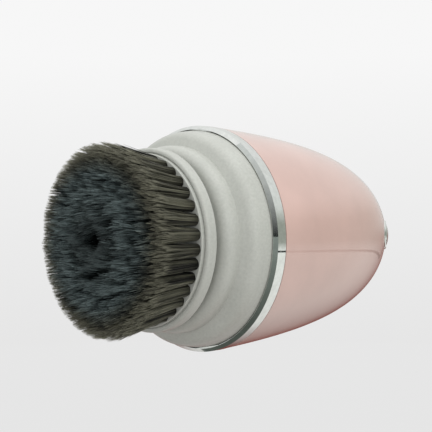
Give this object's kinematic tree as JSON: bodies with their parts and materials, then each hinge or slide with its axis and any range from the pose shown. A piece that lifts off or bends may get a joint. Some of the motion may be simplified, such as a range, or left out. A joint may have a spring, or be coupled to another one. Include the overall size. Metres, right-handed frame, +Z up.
{
  "type": "facial cleansing brush",
  "caption": "Egg-shaped handheld facial cleansing brush with a round head of tufted bristles that spins on a geared motor, a chrome ring and a side power button.",
  "frame": {"origin": "on the brush's own axis, in the rear face of the chrome ring", "axes": "+Y along the axis towards the tail, so the bristles face -Y; +Z up with the brush held level; +X towards the side the power button is on"},
  "size_m": [0.06, 0.1067, 0.06],
  "materials": {
    "shell_pink": "gloss, a pale warm pink",
    "chrome_plate": "mirror-bright plating",
    "satin_grey": "satin, a light silver grey",
    "filament": "fine nylon filament, dark olive grey with lighter tips",
    "seal_rubber": "matte",
    "staple_brass": "bright",
    "acetal_white": "moulded acetal",
    "steel": "ground and bright",
    "can_steel": "zinc plated",
    "lamination_steel": "oiled laminations",
    "magnet_black": "matte",
    "sintered_bronze": "matte sintered",
    "pinion_brass": "machined",
    "copper_wire": "enamelled copper",
    "gearbox_nylon": "moulded nylon",
    "inner_grey": "moulded",
    "carbon": "matte carbon",
    "cell_foil": "laminated foil",
    "board_green": "lacquered",
    "component_black": "moulded",
    "ferrite": "matte",
    "lead_insulation": "insulated lead"
  },
  "bodies": {
    "handle": {"rear_shell": "shell_pink", "chrome_ring": "chrome_plate", "front_cover": "satin_grey", "shell_gasket": "seal_rubber", "spindle_seal": "seal_rubber", "spindle_bush": "sintered_bronze", "thrust_washer": "steel", "gearbox_lid": "gearbox_nylon", "gearbox_case": "gearbox_nylon", "motor_can": "can_steel", "motor_end_cap": "inner_grey", "motor_terminals": "pinion_brass", "motor_bearings": "sintered_bronze", "motor_magnets": "magnet_black", "carbon_brushes": "carbon", "chassis": "inner_grey", "cover_screws": "steel", "gearbox_screws": "steel", "motor_screws": "steel", "battery_cell": "cell_foil", "circuit_board": "board_green", "board_components": "component_black", "ferrite_disc": "ferrite", "charging_coil": "copper_wire", "button_bezel": "chrome_plate", "button_seal": "seal_rubber", "tact_switch": "component_black", "switch_board": "board_green", "motor_leads": "lead_insulation", "battery_leads": "lead_insulation", "switch_leads": "lead_insulation", "coil_leads": "lead_insulation"},
    "output": {"spindle": "steel", "output_carrier": "acetal_white", "output_planet_pins": "steel"},
    "brush_head": {"brush_base": "satin_grey", "bristles": "filament", "tuft_staples": "staple_brass", "brush_hub": "acetal_white", "hub_magnet": "magnet_black"},
    "first_stage": {"first_carrier": "acetal_white", "first_planet_pins": "steel"},
    "motor_rotor": {"motor_shaft": "steel", "motor_pinion": "pinion_brass", "motor_armature": "lamination_steel", "armature_windings": "copper_wire", "commutator": "pinion_brass"},
    "button": {"power_button": "chrome_plate", "switch_plunger": "component_black"},
    "output_planet_1": {"output_planet_1": "acetal_white"},
    "first_planet_1": {"first_planet_1": "acetal_white"},
    "output_planet_2": {"output_planet_2": "acetal_white"},
    "first_planet_2": {"first_planet_2": "acetal_white"},
    "output_planet_3": {"output_planet_3": "acetal_white"},
    "first_planet_3": {"first_planet_3": "acetal_white"}
  },
  "joints": [
    {"name": "head_spin", "type": "hinge", "parent": "handle", "child": "output", "pos_m": [0, 0, 0], "axis": [0, 1, 0], "continuous": true},
    {"name": "head_pull", "type": "slide", "parent": "output", "child": "brush_head", "axis": [0, -1, 0], "range_m": [0, 0.012]},
    {"name": "first_stage_spin", "type": "hinge", "parent": "handle", "child": "first_stage", "pos_m": [0, 0, 0], "axis": [0, 1, 0], "continuous": true},
    {"name": "motor_spin", "type": "hinge", "parent": "handle", "child": "motor_rotor", "pos_m": [0, 0, 0], "axis": [0, 1, 0], "continuous": true},
    {"name": "output_planet_1_spin", "type": "hinge", "parent": "output", "child": "output_planet_1", "pos_m": [0.0075, 0, 0], "axis": [0, 1, 0], "continuous": true},
    {"name": "first_planet_1_spin", "type": "hinge", "parent": "first_stage", "child": "first_planet_1", "pos_m": [0.0075, 0, 0], "axis": [0, 1, 0], "continuous": true},
    {"name": "output_planet_2_spin", "type": "hinge", "parent": "output", "child": "output_planet_2", "pos_m": [-0.00375, 0, 0.00649], "axis": [0, 1, 0], "continuous": true},
    {"name": "first_planet_2_spin", "type": "hinge", "parent": "first_stage", "child": "first_planet_2", "pos_m": [-0.00375, 0, 0.00649], "axis": [0, 1, 0], "continuous": true},
    {"name": "output_planet_3_spin", "type": "hinge", "parent": "output", "child": "output_planet_3", "pos_m": [-0.00375, 0, -0.00649], "axis": [0, 1, 0], "continuous": true},
    {"name": "first_planet_3_spin", "type": "hinge", "parent": "first_stage", "child": "first_planet_3", "pos_m": [-0.00375, 0, -0.00649], "axis": [0, 1, 0], "continuous": true},
    {"name": "power_press", "type": "slide", "parent": "handle", "child": "button", "axis": [-0.8108, -0.5854, 0], "range_m": [0, 0.0005], "stiffness_N_per_m": 2000, "springref_m": -0.0005}
  ],
  "couplings": [
    {"joint": "first_stage_spin", "follows": "head_spin", "ratio": 5},
    {"joint": "motor_spin", "follows": "head_spin", "ratio": 25},
    {"joint": "output_planet_1_spin", "follows": "head_spin", "ratio": -2.6667},
    {"joint": "first_planet_1_spin", "follows": "head_spin", "ratio": -13.333},
    {"joint": "output_planet_2_spin", "follows": "head_spin", "ratio": -2.6667},
    {"joint": "first_planet_2_spin", "follows": "head_spin", "ratio": -13.333},
    {"joint": "output_planet_3_spin", "follows": "head_spin", "ratio": -2.6667},
    {"joint": "first_planet_3_spin", "follows": "head_spin", "ratio": -13.333}
  ]
}
